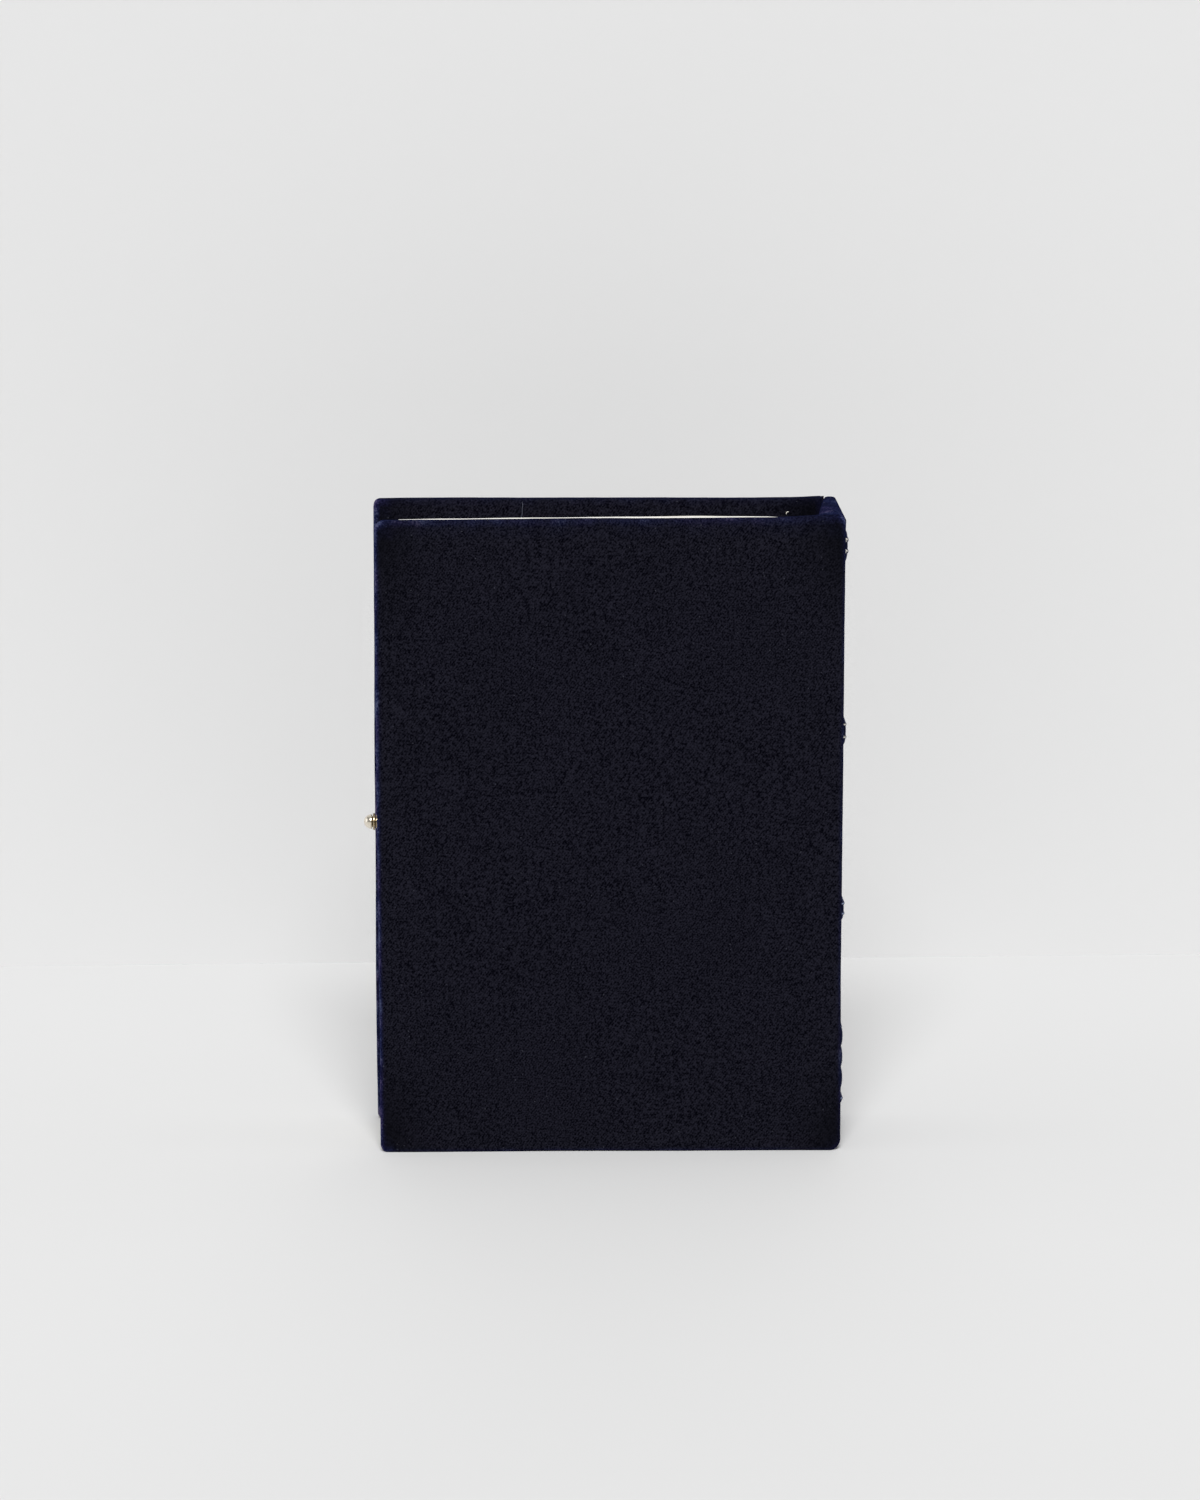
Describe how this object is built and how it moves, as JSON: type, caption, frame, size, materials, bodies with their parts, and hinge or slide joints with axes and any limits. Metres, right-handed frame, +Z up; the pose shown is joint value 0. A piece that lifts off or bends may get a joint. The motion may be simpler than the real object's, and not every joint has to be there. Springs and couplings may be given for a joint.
{
  "type": "book box",
  "caption": "Book-shaped keepsake box in navy velvet: hinged covers carry shallow lined trays that close against each other, held by a sprung ball clasp at the fore edge.",
  "frame": {"origin": "middle of the closed box's footprint, clasp ball and spine bands included, on the surface it stands on", "axes": "+Z up, tail to head; +X from the fore edge to the spine; -Y out of the back cover, +Y out of the front cover"},
  "size_m": [0.1526, 0.04, 0.205],
  "materials": {
    "navy_velvet": "navy cotton velvet, near black face on, blue where the pile catches light",
    "thread": "satin-stitched navy thread with pale edging",
    "page_cloth": "off-white cloth with fine lines like page edges",
    "lining_cotton": "plain ivory cotton",
    "wadding": "polyester wadding",
    "greyboard": "grey pulp board",
    "brass": "pale polished brass",
    "spring_steel": "bright spring steel"
  },
  "bodies": {
    "back_half": {"back_cover_velvet": "navy_velvet", "back_floor_pad": "lining_cotton", "back_fore_edge_wall": "greyboard", "back_greyboard": "greyboard", "back_head_wall": "greyboard", "back_page_cloth": "page_cloth", "back_rim": "brass", "back_spine_wall": "greyboard", "back_tail_wall": "greyboard", "back_wall_lining": "lining_cotton", "joint_velvet": "navy_velvet", "keeper": "brass", "keeper_rivets": "brass", "spine_band_1": "thread", "spine_band_2": "thread", "spine_band_3": "thread", "spine_band_4": "thread", "spine_band_5": "thread", "spine_card": "greyboard", "spine_padding": "wadding", "spine_velvet": "navy_velvet"},
    "front_half": {"front_cover_velvet": "navy_velvet", "front_floor_pad": "lining_cotton", "front_fore_edge_wall": "greyboard", "front_greyboard": "greyboard", "front_head_wall": "greyboard", "front_page_cloth": "page_cloth", "front_rim": "brass", "front_spine_wall": "greyboard", "front_tail_wall": "greyboard", "front_wall_lining": "lining_cotton", "clasp_plate": "brass", "clasp_rivets": "brass", "clasp_pin": "brass", "clasp_spring": "spring_steel"},
    "clasp": {"clasp_lever": "brass", "clasp_stem": "brass", "clasp_ball": "brass"}
  },
  "joints": [
    {"name": "cover_hinge", "type": "hinge", "parent": "back_half", "child": "front_half", "pos_m": [0.07002, 0.0196, 0.1025], "axis": [0, 0, -1], "range_deg": [0, 120]},
    {"name": "clasp_pivot", "type": "hinge", "parent": "front_half", "child": "clasp", "pos_m": [-0.06823, 0.005, 0.104], "axis": [0, 0, -1], "range_deg": [0, 10], "stiffness_Nm_per_rad": 0.02, "springref_deg": -4.58, "deforming": ["clasp_spring"]}
  ]
}
